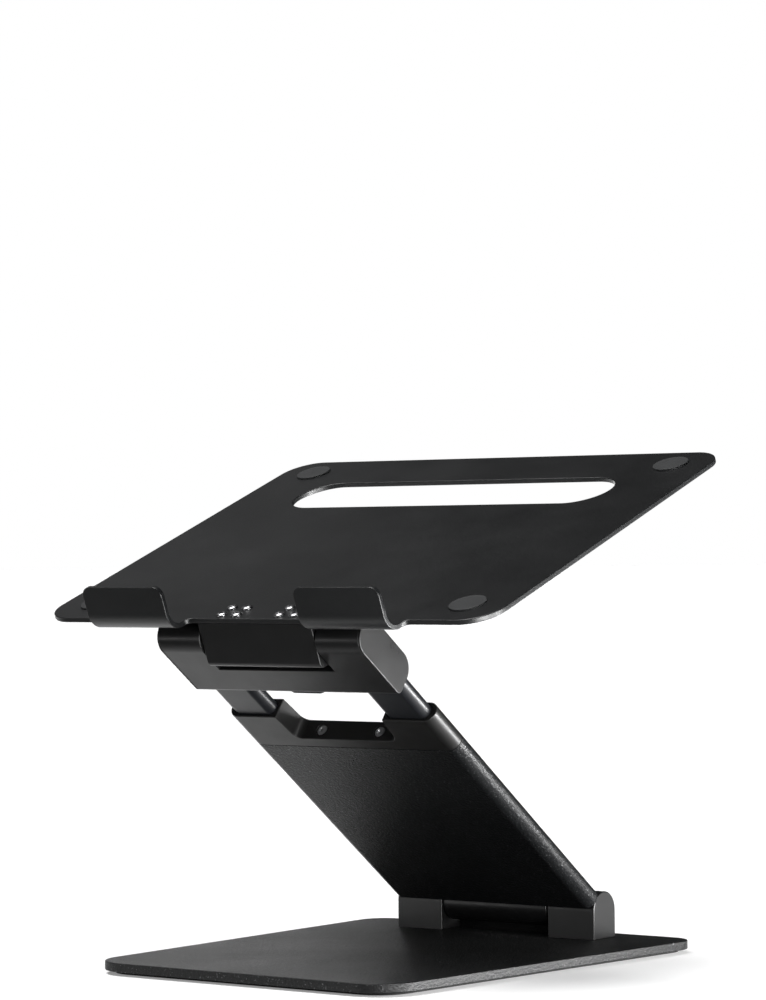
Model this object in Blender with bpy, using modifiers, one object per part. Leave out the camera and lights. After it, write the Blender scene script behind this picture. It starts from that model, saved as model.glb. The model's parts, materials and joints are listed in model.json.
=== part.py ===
"""Laptop stand: a weighted base plate, a leaning oval lower arm on a friction hinge, two flat inner
arms that slide out of it, a hinge block with a friction hinge, and a tilting tray with two front hooks.

Units are metres, +Z is up, +X runs along both hinge axes, and the hooks face -Y. The origin is the
middle of the base's underside.
"""

from math import cos, pi, radians, sin

import bmesh
import bpy
from mathutils import Matrix, Vector

MM = 0.001
GAP = 0.30 * MM  # clearance between pieces that meet

# base plate and rubber mat
BASE_DEPTH = 249.0 * MM
BASE_FRONT_HALF = 92.0 * MM
BASE_REAR_HALF = 103.6 * MM
BASE_FRONT_R = 22.0 * MM
BASE_REAR_R = 15.0 * MM
BASE_T = 4.5 * MM
BASE_LIFT = 1.5 * MM
MAT_INSET = 5.0 * MM
BASE_TOP = BASE_LIFT + BASE_T

# lower hinge
LOW_Y = 98.5 * MM
LOW_Z = 20.4 * MM
LUG_R = 9.85 * MM
LUG_IN = 33.9 * MM
LUG_OUT = 62.55 * MM
LUG_BORE_END = 58.0 * MM
SHAFT_R = 4.0 * MM
RUN_R = 4.07 * MM  # running bore on a shaft
BARREL_R = 9.5 * MM
BARREL_HALF = 32.6 * MM
LUG_SCREW_X = (41.0 * MM, 55.5 * MM)
BRIDGE_TOP = 10.5 * MM  # of the wall behind the barrel

# lower arm, an oval tube
ARM_LEAN = radians(36.4)  # above the horizontal, towards the front
ARM_REACH = 242.0 * MM  # lower axis to upper axis, as drawn
SLEEVE_HALF = 63.6 * MM
SLEEVE_T = 11.3 * MM
SLEEVE_WALL = 1.2 * MM
SLEEVE_LOW = 10.2 * MM
SLEEVE_TOP = 155.2 * MM
COLLAR_TOP = 181.0 * MM
VALLEY_Z = 162.5 * MM
VALLEY_HALF = 31.4 * MM
VALLEY_FLARE = 33.0 * MM
VALLEY_R = 4.6 * MM
COLLAR_SCREW_X = 18.0 * MM

# inner arms
BAR_IN = 34.8 * MM
BAR_OUT = 60.4 * MM
BAR_T = 8.2 * MM
BAR_LOW = -174.0 * MM  # from the upper axis
BAR_TOP = -12.2 * MM

# hinge block
BLOCK_R = 9.3 * MM
BLOCK_FRONT_R = 3.0 * MM  # lower front edge, tighter than the other three
BLOCK_LEN = 24.7 * MM  # between the two rounding centres
BLOCK_HALF = 61.5 * MM
CAP_OUT = 62.6 * MM
NOTCH_HALF = 35.6 * MM
NOTCH_FLOOR = -14.4 * MM
STOP_HALF_X = 12.0 * MM
STOP_HALF_Y = 4.6 * MM
STOP_LOW = -41.0 * MM

# tray
TRAY_TILT = radians(21.07)
TRAY_TOP = 13.04 * MM  # above the upper axis, square to the tray
TRAY_FRONT = -8.08 * MM
TRAY_HALF = 137.0 * MM
TRAY_DEPTH = 225.1 * MM
TRAY_T = 2.5 * MM
TRAY_R = 17.6 * MM
SLOT_NEAR = 153.8 * MM
SLOT_FAR = 190.4 * MM
SLOT_HALF = 98.6 * MM
HOOK_IN = 40.5 * MM
HOOK_OUT = 91.0 * MM
HOOK_FLAT = 4.0 * MM  # from the front edge to the bend
HOOK_R = 8.75 * MM  # bend radius of the sheet's middle
HOOK_TOP = 21.8 * MM  # above the tray's top face
HOOK_CORNER = 5.0 * MM
HOOK_ROOT_R = 3.0 * MM
PAD_R = 9.25 * MM
PAD_X = 114.1 * MM
PAD_FRONT = 19.6 * MM
PAD_REAR = 18.4 * MM
TRAY_SCREW_X = (13.2 * MM, 22.4 * MM)
TRAY_SCREW_Y = (-3.2 * MM, 5.4 * MM)

# tray knuckle
KNUCKLE_HALF = 34.8 * MM
KNUCKLE_FRONT = -8.1 * MM
KNUCKLE_REAR = 10.4 * MM
KNUCKLE_LOW = -12.7 * MM


for old in list(bpy.data.objects):
    bpy.data.objects.remove(old, do_unlink=True)

scene = bpy.context.scene
stand = bpy.data.collections.new("laptop_stand")
cutters = bpy.data.collections.new("cutters")
scene.collection.children.link(stand)
scene.collection.children.link(cutters)
cutters.hide_render = True


# ---------------------------------------------------------------- helpers

def arc(cx, cy, r, start, end, steps):
    return [
        (cx + r * cos(start + (end - start) * i / steps), cy + r * sin(start + (end - start) * i / steps))
        for i in range(steps + 1)
    ]


def stadium(half_w, half_t, steps=8, cx=0.0, cy=0.0):
    c = half_w - half_t
    return arc(cx + c, cy, half_t, -pi / 2, pi / 2, steps) + arc(cx - c, cy, half_t, pi / 2, 3 * pi / 2, steps)


def rounded(corners, radii, steps=6):
    """Outline through the corners, anticlockwise, each rounded with its own radius (0 keeps it sharp).
    A corner that turns the other way is rounded as a hollow fillet."""
    out = []
    for i, corner in enumerate(corners):
        b = Vector(corner)
        r = radii[i]
        if r <= 0:
            out.append(tuple(b))
            continue
        to_a = (Vector(corners[i - 1]) - b).normalized()
        to_c = (Vector(corners[(i + 1) % len(corners)]) - b).normalized()
        half = to_a.angle(to_c) / 2
        centre = b + (to_a + to_c).normalized() * (r / sin(half))
        p = b + to_a * (r * cos(half) / sin(half)) - centre
        q = b + to_c * (r * cos(half) / sin(half)) - centre
        sweep = p.angle_signed(q) * -1
        for k in range(steps + 1):
            t = sweep * k / steps
            out.append((centre.x + p.x * cos(t) - p.y * sin(t), centre.y + p.x * sin(t) + p.y * cos(t)))
    return out


TURN = {
    "Z": Matrix.Identity(4),
    "X": Matrix(((0, 0, 1, 0), (1, 0, 0, 0), (0, 1, 0, 0), (0, 0, 0, 1))),  # outline given as (y, z)
    "Y": Matrix(((1, 0, 0, 0), (0, 0, -1, 0), (0, 1, 0, 0), (0, 0, 0, 1))),  # outline given as (x, z)
}


def finish(obj, material=None, smooth=35.0, home=None):
    (home or stand).objects.link(obj)
    if material is not None:
        obj.data.materials.append(material)
    obj.data.shade_smooth()
    obj.data.set_sharp_from_angle(angle=radians(smooth))
    return obj


def outline_mesh(name, loops, low, high, axis="Z", chamfer=0.0):
    """A flat outline with holes, drawn as a filled 2D curve and extruded from low to high along axis."""
    curve = bpy.data.curves.new(name + "_outline", "CURVE")
    curve.dimensions = "2D"
    curve.fill_mode = "BOTH"
    curve.extrude = (high - low) / 2 - chamfer
    if chamfer:
        curve.bevel_depth = chamfer
        curve.bevel_resolution = 0
        curve.offset = -chamfer
    for loop in loops:
        spline = curve.splines.new("POLY")
        spline.points.add(len(loop) - 1)
        for point, (x, y) in zip(spline.points, loop):
            point.co = (x, y, 0.0, 1.0)
        spline.use_cyclic_u = True
    drawn = bpy.data.objects.new(name + "_outline", curve)
    scene.collection.objects.link(drawn)
    bpy.context.view_layer.update()
    mesh = bpy.data.meshes.new_from_object(drawn.evaluated_get(bpy.context.evaluated_depsgraph_get()))
    bpy.data.objects.remove(drawn, do_unlink=True)
    bpy.data.curves.remove(curve)
    mesh.name = name
    bm = bmesh.new()
    bm.from_mesh(mesh)
    bmesh.ops.remove_doubles(bm, verts=bm.verts, dist=1e-6)
    bmesh.ops.recalc_face_normals(bm, faces=bm.faces)
    bm.to_mesh(mesh)
    bm.free()
    mid = (low + high) / 2
    lift = {"Z": (0, 0, mid), "X": (mid, 0, 0), "Y": (0, mid, 0)}[axis]
    mesh.transform(Matrix.Translation(lift) @ TURN[axis])
    mesh.materials.clear()
    return mesh


def prism(name, loops, low, high, axis, material, parent, chamfer=0.0, smooth=35.0):
    obj = bpy.data.objects.new(name, outline_mesh(name, loops, low, high, axis, chamfer))
    obj.parent = parent
    return finish(obj, material, smooth)


def cut_prism(name, loops, low, high, axis, parent):
    obj = bpy.data.objects.new(name, outline_mesh(name, loops, low, high, axis))
    obj.parent = parent
    obj.hide_render = True
    obj.display_type = "WIRE"
    cutters.objects.link(obj)
    return obj


def turned_object(name, profile, place, axis, parent, steps, ring=False):
    """(radius, height) points turned once round the axis with a Screw. A ring profile is closed and keeps
    clear of the axis; any other starts and ends on it."""
    closing = profile + profile[:1]
    area = sum(p[0] * q[1] - q[0] * p[1] for p, q in zip(closing, closing[1:]))
    if area > 0:
        profile = profile[::-1]
    pairs = [(i, i + 1) for i in range(len(profile) - 1)]
    if ring:
        pairs.append((len(profile) - 1, 0))
    mesh = bpy.data.meshes.new(name)
    mesh.from_pydata([(r, 0.0, h) for r, h in profile], pairs, [])
    obj = bpy.data.objects.new(name, mesh)
    obj.parent = parent
    obj.location = place
    obj.rotation_euler = TURN[axis].to_euler()
    screw = obj.modifiers.new("turn", "SCREW")
    screw.axis = "Z"
    screw.angle = 2 * pi
    screw.screw_offset = 0.0
    screw.steps = steps
    screw.render_steps = steps
    screw.use_merge_vertices = True
    screw.merge_threshold = 1e-6
    screw.use_smooth_shade = True
    return obj


def turned(name, profile, place, axis, material, parent, steps=24, ring=False):
    obj = turned_object(name, profile, place, axis, parent, steps, ring)
    stand.objects.link(obj)
    obj.data.materials.append(material)
    return obj


def cut_turned(name, profile, place, axis, parent, steps=24):
    obj = turned_object(name, profile, place, axis, parent, steps)
    obj.hide_render = True
    obj.display_type = "WIRE"
    cutters.objects.link(obj)
    return obj


def boolean(obj, other, operation="DIFFERENCE"):
    mod = obj.modifiers.new(operation.lower() + "_" + other.name, "BOOLEAN")
    mod.operation = operation
    mod.solver = "EXACT"
    mod.object = other
    return mod


def rod(r, low, high):
    return [(0, low), (r, low), (r, high), (0, high)]


def stepped_bore(middle_r, steps, end):
    """The same steps at both ends: each (height, radius) widens the bore from that height outwards."""
    half, r = [], middle_r
    for height, wider in steps:
        half += [(r, height), (wider, height)]
        r = wider
    half += [(r, end), (0, end)]
    return [(q, -h) for q, h in reversed(half)] + half


def group(name, parent, place, turn):
    empty = bpy.data.objects.new(name, None)
    empty.empty_display_size = 0.02
    empty.parent = parent
    empty.location = place
    empty.rotation_euler = (turn, 0, 0)
    stand.objects.link(empty)
    return empty


def material(name, colour, metallic, roughness):
    mat = bpy.data.materials.new(name)
    mat.use_nodes = True
    shader = mat.node_tree.nodes["Principled BSDF"]
    shader.inputs["Base Color"].default_value = (*colour, 1.0)
    shader.inputs["Metallic"].default_value = metallic
    shader.inputs["Roughness"].default_value = roughness
    return mat


def coat(name):
    return material(name, (0.030, 0.032, 0.034), 0.25, 0.42)


def rubber(name):
    return material(name, (0.045, 0.046, 0.048), 0.0, 0.75)


def plastic(name):
    return material(name, (0.030, 0.030, 0.032), 0.0, 0.42)


def nylon(name):
    return material(name + "_nylon", (0.040, 0.040, 0.042), 0.0, 0.5)


def steel(name):
    return material(name, (0.62, 0.63, 0.65), 1.0, 0.28)


# ---------------------------------------------------------------- moving groups

base = group("base_group", None, (0, 0, 0), 0.0)
arm = group("arm_group", base, (0, LOW_Y, LOW_Z), pi / 2 - ARM_LEAN)  # on the lower hinge axis
slider = group("slider_group", arm, (0, 0, ARM_REACH), 0.0)  # on the slide axis, at the upper hinge
tray = group("tray_group", slider, (0, 0, 0), TRAY_TILT - (pi / 2 - ARM_LEAN))  # on the upper hinge axis


# ---------------------------------------------------------------- base

def base_outline(inset):
    front = BASE_FRONT_HALF - inset
    rear = BASE_REAR_HALF - inset
    half = BASE_DEPTH / 2 - inset
    corners = [(-front, -half), (front, -half), (rear, half), (-rear, half)]
    fr, rr = BASE_FRONT_R - inset, BASE_REAR_R - inset
    return rounded(corners, [fr, fr, rr, rr], 10)


plate = prism(
    "base_plate", [base_outline(0.0)], BASE_LIFT, BASE_TOP, "Z", coat("base_plate_coat"), base, chamfer=0.5 * MM
)
prism("base_mat", [base_outline(MAT_INSET)], 0.0, BASE_LIFT - GAP, "Z", rubber("base_mat_rubber"), base)

LUG_SCREW_TOP = 13.4 * MM
lug_profile = (
    [(LOW_Y - LUG_R, BASE_TOP + GAP), (LOW_Y + LUG_R, BASE_TOP + GAP)]
    + arc(LOW_Y, LOW_Z, LUG_R, 0, pi, 16)
)
for side, tag in ((-1, "l"), (1, "r")):
    lo, hi = sorted((side * LUG_IN, side * LUG_OUT))
    lug = prism("lug_" + tag, [lug_profile], lo, hi, "X", coat("lug_" + tag + "_coat"), base, chamfer=0.3 * MM)
    ends = sorted((side * (LUG_IN - 2 * MM), side * LUG_BORE_END))
    bore = cut_turned("cut_lug_bore_" + tag, rod(RUN_R, *ends), (0, LOW_Y, LOW_Z), "X", base, 24)
    boolean(lug, bore)
    for k, x in enumerate(LUG_SCREW_X):
        name = f"lug_screw_{tag}{k + 1}"
        place = (side * x, LOW_Y, 0)
        turned(
            name,
            [
                (0, BASE_LIFT + 0.2 * MM),
                (3.9 * MM, BASE_LIFT + 0.2 * MM),
                (2.0 * MM, BASE_LIFT + 2.4 * MM),
                (2.0 * MM, LUG_SCREW_TOP),
                (0, LUG_SCREW_TOP),
            ],
            place,
            "Z",
            steel(name + "_steel"),
            base,
            16,
        )
        sink = cut_turned(
            "cut_sink_" + name,
            [
                (0, BASE_LIFT - 1 * MM),
                (5.1 * MM, BASE_LIFT - 1 * MM),
                (2.3 * MM, BASE_LIFT + 2.5 * MM),
                (2.3 * MM, BASE_TOP + 1 * MM),
                (0, BASE_TOP + 1 * MM),
            ],
            place,
            "Z",
            base,
            16,
        )
        boolean(plate, sink)
        tap = cut_turned("cut_tap_" + name, rod(2.15 * MM, BASE_TOP - 1 * MM, 13.9 * MM), place, "Z", base, 16)
        boolean(lug, tap)

# A low wall closes the gap behind the barrel.
prism(
    "hinge_bridge",
    [rounded(
        [(LOW_Y + 6.5 * MM, BASE_TOP + GAP), (LOW_Y + 9.8 * MM, BASE_TOP + GAP),
         (LOW_Y + 9.8 * MM, BRIDGE_TOP), (LOW_Y + 6.5 * MM, BRIDGE_TOP)],
        [0, 0, 0.8 * MM, 0.8 * MM],
        4,
    )],
    -LUG_IN + GAP,
    LUG_IN - GAP,
    "X",
    coat("hinge_bridge_coat"),
    base,
)

turned(
    "lower_shaft",
    [
        (0, -LUG_BORE_END + 0.4 * MM),
        (SHAFT_R - 0.4 * MM, -LUG_BORE_END + 0.4 * MM),
        (SHAFT_R, -LUG_BORE_END + 0.8 * MM),
        (SHAFT_R, LUG_BORE_END - 0.8 * MM),
        (SHAFT_R - 0.4 * MM, LUG_BORE_END - 0.4 * MM),
        (0, LUG_BORE_END - 0.4 * MM),
    ],
    (0, LOW_Y, LOW_Z),
    "X",
    steel("lower_shaft_steel"),
    base,
    24,
)


# ---------------------------------------------------------------- lower arm

def flanged_bush(name, side, inner, shoulder, face, body_r, flange_r, parent):
    """A top-hat bush: a sleeve on the shaft, with a flange that spaces the two hinge halves."""
    profile = [
        (RUN_R, inner),
        (body_r, inner),
        (body_r, shoulder),
        (flange_r, shoulder),
        (flange_r, face),
        (RUN_R, face),
    ]
    if side < 0:
        profile = [(r, -h) for r, h in profile]
    return turned(name, profile, (0, 0, 0), "X", nylon(name), parent, 24, ring=True)


BUSH_R = 5.6 * MM
SLEEVE_IN_HALF = SLEEVE_HALF - SLEEVE_WALL
SLEEVE_IN_T = SLEEVE_T - 2 * SLEEVE_WALL
FIT_T = SLEEVE_IN_T - 2 * GAP - 0.1 * MM  # thickness of what sits inside the tube

knuckle = turned("arm_knuckle", rod(BARREL_R, -BARREL_HALF, BARREL_HALF), (0, 0, 0), "X", coat("arm_knuckle_coat"), arm, 36)
neck = cut_prism(
    "cut_neck",
    [[(-BARREL_HALF + 1 * MM, 2 * MM), (BARREL_HALF - 1 * MM, 2 * MM), (BARREL_HALF - 1 * MM, 14 * MM), (-BARREL_HALF + 1 * MM, 14 * MM)]],
    -FIT_T / 2 + 0.4 * MM,
    FIT_T / 2 - 0.4 * MM,
    "Y",
    arm,
)
plug = cut_prism("cut_plug", [stadium(SLEEVE_IN_HALF - GAP, FIT_T / 2)], 10.6 * MM, 34.0 * MM, "Z", arm)
boolean(knuckle, neck, "UNION")
boolean(knuckle, plug, "UNION")
bore = cut_turned(
    "cut_barrel_bore",
    stepped_bore(4.6 * MM, [(18.0 * MM, BUSH_R + 0.15 * MM)], BARREL_HALF + 2 * MM),
    (0, 0, 0),
    "X",
    arm,
    24,
)
boolean(knuckle, bore)
for side, tag in ((-1, "l"), (1, "r")):
    flanged_bush("lower_bush_" + tag, side, 18.4 * MM, BARREL_HALF + 0.15 * MM, LUG_IN - 0.3 * MM, BUSH_R, 8.6 * MM, arm)

prism(
    "arm_sleeve",
    [stadium(SLEEVE_HALF, SLEEVE_T / 2, 12), stadium(SLEEVE_IN_HALF, SLEEVE_IN_T / 2, 12)],
    SLEEVE_LOW,
    SLEEVE_TOP,
    "Z",
    coat("arm_sleeve_coat"),
    arm,
)

CORE_LOW = 128.0 * MM
core = prism(
    "sleeve_core",
    [rounded([(-33.6 * MM, -FIT_T / 2), (33.6 * MM, -FIT_T / 2), (33.6 * MM, FIT_T / 2), (-33.6 * MM, FIT_T / 2)], [1 * MM] * 4, 3)],
    CORE_LOW,
    SLEEVE_TOP,
    "Z",
    plastic("sleeve_core_plastic"),
    arm,
)

collar = prism(
    "arm_collar", [stadium(SLEEVE_HALF, SLEEVE_T / 2, 12)], SLEEVE_TOP + GAP, COLLAR_TOP, "Z",
    plastic("arm_collar_plastic"), arm, chamfer=0.4 * MM,
)
valley = cut_prism(
    "cut_valley",
    [
        rounded(
            [
                (-VALLEY_HALF, VALLEY_Z),
                (VALLEY_HALF, VALLEY_Z),
                (VALLEY_FLARE, COLLAR_TOP + 3 * MM),
                (-VALLEY_FLARE, COLLAR_TOP + 3 * MM),
            ],
            [VALLEY_R, VALLEY_R, 0, 0],
            8,
        )
    ],
    -10 * MM,
    10 * MM,
    "Y",
    arm,
)
boolean(collar, valley)

BAR_MID = (BAR_IN + BAR_OUT) / 2
BAR_HALF = (BAR_OUT - BAR_IN) / 2
for side, tag in ((-1, "l"), (1, "r")):
    pocket = cut_prism(
        "cut_collar_pocket_" + tag,
        [stadium(BAR_HALF + GAP, BAR_T / 2 + GAP, 10, cx=side * BAR_MID)],
        SLEEVE_TOP - 2 * MM,
        COLLAR_TOP + 2 * MM,
        "Z",
        arm,
    )
    boolean(collar, pocket)
    x = side * COLLAR_SCREW_X
    hole = cut_turned(
        "cut_collar_screw_" + tag,
        [
            (0, SLEEVE_TOP - 1 * MM),
            (1.8 * MM, SLEEVE_TOP - 1 * MM),
            (1.8 * MM, VALLEY_Z - 2.0 * MM),
            (3.2 * MM, VALLEY_Z - 2.0 * MM),
            (3.2 * MM, VALLEY_Z + 2.0 * MM),
            (0, VALLEY_Z + 2.0 * MM),
        ],
        (x, 0, 0),
        "Z",
        arm,
        24,
    )
    boolean(collar, hole)
    thread = cut_turned(
        "cut_core_screw_" + tag, rod(1.65 * MM, 139.0 * MM, SLEEVE_TOP + 2 * MM), (x, 0, 0), "Z", arm, 16
    )
    boolean(core, thread)
    turned(
        "collar_screw_" + tag,
        [
            (0, 140.0 * MM),
            (1.5 * MM, 140.0 * MM),
            (1.5 * MM, VALLEY_Z - 1.7 * MM),
            (2.85 * MM, VALLEY_Z - 1.7 * MM),
            (2.85 * MM, VALLEY_Z - 0.5 * MM),
            (2.2 * MM, VALLEY_Z - 0.05 * MM),
            (0, VALLEY_Z + 0.05 * MM),
        ],
        (x, 0, 0),
        "Z",
        steel("collar_screw_" + tag + "_steel"),
        arm,
        16,
    )


# ---------------------------------------------------------------- sliding inner arms and hinge block

def block_profile():
    low = -BLOCK_LEN - BLOCK_R
    return (
        arc(0, 0, BLOCK_R, 0, pi, 14)
        + arc(-BLOCK_R + BLOCK_FRONT_R, low + BLOCK_FRONT_R, BLOCK_FRONT_R, pi, 3 * pi / 2, 5)
        + arc(0, -BLOCK_LEN, BLOCK_R, 3 * pi / 2, 2 * pi, 8)
    )


block = prism("hinge_block", [block_profile()], -BLOCK_HALF, BLOCK_HALF, "X", coat("hinge_block_coat"), slider)
notch = cut_prism(
    "cut_notch",
    [[(-NOTCH_HALF, NOTCH_FLOOR), (NOTCH_HALF, NOTCH_FLOOR), (NOTCH_HALF, 14 * MM), (-NOTCH_HALF, 14 * MM)]],
    -14 * MM,
    14 * MM,
    "Y",
    slider,
)
boolean(block, notch)
bore = cut_turned(
    "cut_block_bore", rod(SHAFT_R + 0.07 * MM, -BLOCK_HALF - 2 * MM, BLOCK_HALF + 2 * MM), (0, 0, 0), "X", slider, 24
)
boolean(block, bore)
seat = cut_prism(
    "cut_stop_seat", [stadium(STOP_HALF_X + GAP, STOP_HALF_Y + GAP, 10)], -50 * MM, -31.5 * MM, "Z", slider
)
boolean(block, seat)
prism(
    "block_stop", [stadium(STOP_HALF_X, STOP_HALF_Y, 10)], STOP_LOW, -31.8 * MM, "Z", rubber("block_stop_rubber"),
    slider, chamfer=0.8 * MM,
)

SCREW_Z = -22.0 * MM
for side, tag in ((-1, "l"), (1, "r")):
    pocket = cut_prism(
        "cut_bar_pocket_" + tag,
        [stadium(BAR_HALF + GAP, BAR_T / 2 + GAP, 10, cx=side * BAR_MID)],
        -60 * MM,
        BAR_TOP + GAP,
        "Z",
        slider,
    )
    boolean(block, pocket)
    grub_hole = cut_turned(
        "cut_grub_" + tag, rod(2.15 * MM, -16 * MM, 0.0), (side * BAR_MID, 0, SCREW_Z), "Y", slider, 16
    )
    boolean(block, grub_hole)
    bar = prism(
        "inner_arm_" + tag,
        [stadium(BAR_HALF, BAR_T / 2, 10, cx=side * BAR_MID)],
        BAR_LOW,
        BAR_TOP,
        "Z",
        coat("inner_arm_" + tag + "_coat"),
        slider,
    )
    dimple = cut_turned(
        "cut_dimple_" + tag, rod(2.3 * MM, -16 * MM, -1.4 * MM), (side * BAR_MID, 0, SCREW_Z), "Y", slider, 16
    )
    boolean(bar, dimple)
    # TURN["Y"] sends the turned height to -Y, so negative heights lie on the rear side of the block.
    turned(
        "block_screw_" + tag,
        [
            (0, -9.0 * MM),
            (1.2 * MM, -9.0 * MM),
            (2.0 * MM, -8.8 * MM),
            (2.0 * MM, -2.6 * MM),
            (1.2 * MM, -1.8 * MM),
            (0, -1.8 * MM),
        ],
        (side * BAR_MID, 0, SCREW_Z),
        "Y",
        steel("block_screw_" + tag + "_steel"),
        slider,
        16,
    )
    lo, hi = sorted((side * (BLOCK_HALF + GAP), side * CAP_OUT))
    prism("block_cap_" + tag, [block_profile()], lo, hi, "X", plastic("block_cap_" + tag + "_plastic"), slider, chamfer=0.2 * MM)
    foot_hole = cut_turned(
        "cut_foot_tap_" + tag, rod(1.65 * MM, BAR_LOW - 1 * MM, BAR_LOW + 13 * MM), (side * BAR_MID, 0, 0), "Z", slider, 16
    )
    boolean(bar, foot_hole)

turned(
    "upper_shaft",
    [
        (0, -60.6 * MM),
        (SHAFT_R - 0.4 * MM, -60.6 * MM),
        (SHAFT_R, -60.2 * MM),
        (SHAFT_R, 60.2 * MM),
        (SHAFT_R - 0.4 * MM, 60.6 * MM),
        (0, 60.6 * MM),
    ],
    (0, 0, 0),
    "X",
    steel("upper_shaft_steel"),
    slider,
    24,
)

FOOT_LOW = BAR_LOW - 6.0 * MM
foot = prism(
    "slider_foot",
    [stadium(SLEEVE_IN_HALF - GAP, FIT_T / 2, 8)],
    FOOT_LOW,
    BAR_LOW - GAP,
    "Z",
    nylon("slider_foot"),
    slider,
)
tongue = cut_prism(
    "cut_tongue",
    [[(-33.4 * MM, FOOT_LOW + 1 * MM), (33.4 * MM, FOOT_LOW + 1 * MM), (33.4 * MM, BAR_LOW + 9 * MM), (-33.4 * MM, BAR_LOW + 9 * MM)]],
    -3.6 * MM,
    3.6 * MM,
    "Y",
    slider,
)
boolean(foot, tongue, "UNION")
for side, tag in ((-1, "l"), (1, "r")):
    hole = cut_turned(
        "cut_foot_screw_" + tag,
        [
            (0, FOOT_LOW - 1 * MM),
            (3.2 * MM, FOOT_LOW - 1 * MM),
            (3.2 * MM, FOOT_LOW + 2.2 * MM),
            (1.8 * MM, FOOT_LOW + 2.2 * MM),
            (1.8 * MM, BAR_LOW + 2 * MM),
            (0, BAR_LOW + 2 * MM),
        ],
        (side * BAR_MID, 0, 0),
        "Z",
        slider,
        20,
    )
    boolean(foot, hole)
    turned(
        "foot_screw_" + tag,
        [
            (0, FOOT_LOW + 0.2 * MM),
            (2.8 * MM, FOOT_LOW + 0.2 * MM),
            (2.8 * MM, FOOT_LOW + 1.9 * MM),
            (1.5 * MM, FOOT_LOW + 1.9 * MM),
            (1.5 * MM, BAR_LOW + 11 * MM),
            (0, BAR_LOW + 11 * MM),
        ],
        (side * BAR_MID, 0, 0),
        "Z",
        steel("foot_screw_" + tag + "_steel"),
        slider,
        16,
    )


# ---------------------------------------------------------------- tray

def tray_blank():
    """The tray's sheet before bending, as (x, s): s runs back from the front edge, and each hook is a
    tongue with negative s as long as the bent hook."""
    reach = HOOK_FLAT + HOOK_R * pi / 2 + (HOOK_TOP + TRAY_T / 2 - HOOK_R)
    w, d = TRAY_HALF, TRAY_DEPTH
    corners, radii = [(-w, 0.0)], [TRAY_R]
    for lo, hi in ((-HOOK_OUT, -HOOK_IN), (HOOK_IN, HOOK_OUT)):
        corners += [(lo, 0.0), (lo, -reach), (hi, -reach), (hi, 0.0)]
        radii += [HOOK_ROOT_R, HOOK_CORNER, HOOK_CORNER, HOOK_ROOT_R]
    corners += [(w, 0.0), (w, d), (-w, d)]
    radii += [TRAY_R, TRAY_R, TRAY_R]
    return rounded(corners, radii, 7)


def bend(s):
    """Where the sheet's middle lies after bending, as (y, z) in the tray's own frame."""
    y0, z0 = TRAY_FRONT, TRAY_TOP - TRAY_T / 2
    past = -s - HOOK_FLAT
    if past <= 0:
        return y0 + s, z0
    turn = min(past / HOOK_R, pi / 2)
    rise = max(0.0, past - HOOK_R * pi / 2)
    return y0 - HOOK_FLAT - HOOK_R * sin(turn), z0 + HOOK_R * (1 - cos(turn)) + rise


def flat_sheet(name, loops):
    curve = bpy.data.curves.new(name + "_outline", "CURVE")
    curve.dimensions = "2D"
    curve.fill_mode = "BOTH"
    for loop in loops:
        spline = curve.splines.new("POLY")
        spline.points.add(len(loop) - 1)
        for point, (x, y) in zip(spline.points, loop):
            point.co = (x, y, 0.0, 1.0)
        spline.use_cyclic_u = True
    drawn = bpy.data.objects.new(name + "_outline", curve)
    scene.collection.objects.link(drawn)
    bpy.context.view_layer.update()
    mesh = bpy.data.meshes.new_from_object(drawn.evaluated_get(bpy.context.evaluated_depsgraph_get()))
    bpy.data.objects.remove(drawn, do_unlink=True)
    bpy.data.curves.remove(curve)
    mesh.name = name
    mesh.materials.clear()
    return mesh


slot_mid = (SLOT_NEAR + SLOT_FAR) / 2
slot_half_t = (SLOT_FAR - SLOT_NEAR) / 2
screw_holes = [
    arc(x, y - TRAY_FRONT, 1.75 * MM, 0, 2 * pi * 15 / 16, 15)
    for x in (-TRAY_SCREW_X[1], -TRAY_SCREW_X[0], TRAY_SCREW_X[0], TRAY_SCREW_X[1])
    for y in TRAY_SCREW_Y
]
sheet = flat_sheet(
    "tray_plate", [tray_blank(), stadium(SLOT_HALF, slot_half_t, 14, cy=slot_mid), *screw_holes]
)
bm = bmesh.new()
bm.from_mesh(sheet)
bmesh.ops.remove_doubles(bm, verts=bm.verts, dist=1e-6)
BENDS = 7
lines = [0.0] + [-HOOK_FLAT - HOOK_R * pi / 2 * i / BENDS for i in range(BENDS + 1)]
for s in lines:
    bmesh.ops.bisect_plane(
        bm, geom=bm.verts[:] + bm.edges[:] + bm.faces[:], dist=1e-7, plane_co=(0, s, 0), plane_no=(0, 1, 0)
    )
bmesh.ops.recalc_face_normals(bm, faces=bm.faces)
if sum(face.normal.z * face.calc_area() for face in bm.faces) < 0:
    bmesh.ops.reverse_faces(bm, faces=bm.faces)
for vert in bm.verts:
    y, z = bend(vert.co.y)
    vert.co = (vert.co.x, y, z)
bmesh.ops.dissolve_limit(bm, angle_limit=radians(0.5), verts=bm.verts, edges=bm.edges)
bm.to_mesh(sheet)
bm.free()
tray_plate = bpy.data.objects.new("tray_plate", sheet)
tray_plate.parent = tray
finish(tray_plate, coat("tray_plate_coat"), smooth=30.0)
solid = tray_plate.modifiers.new("sheet", "SOLIDIFY")
solid.thickness = TRAY_T
solid.offset = 0.0
solid.use_even_offset = True

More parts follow.
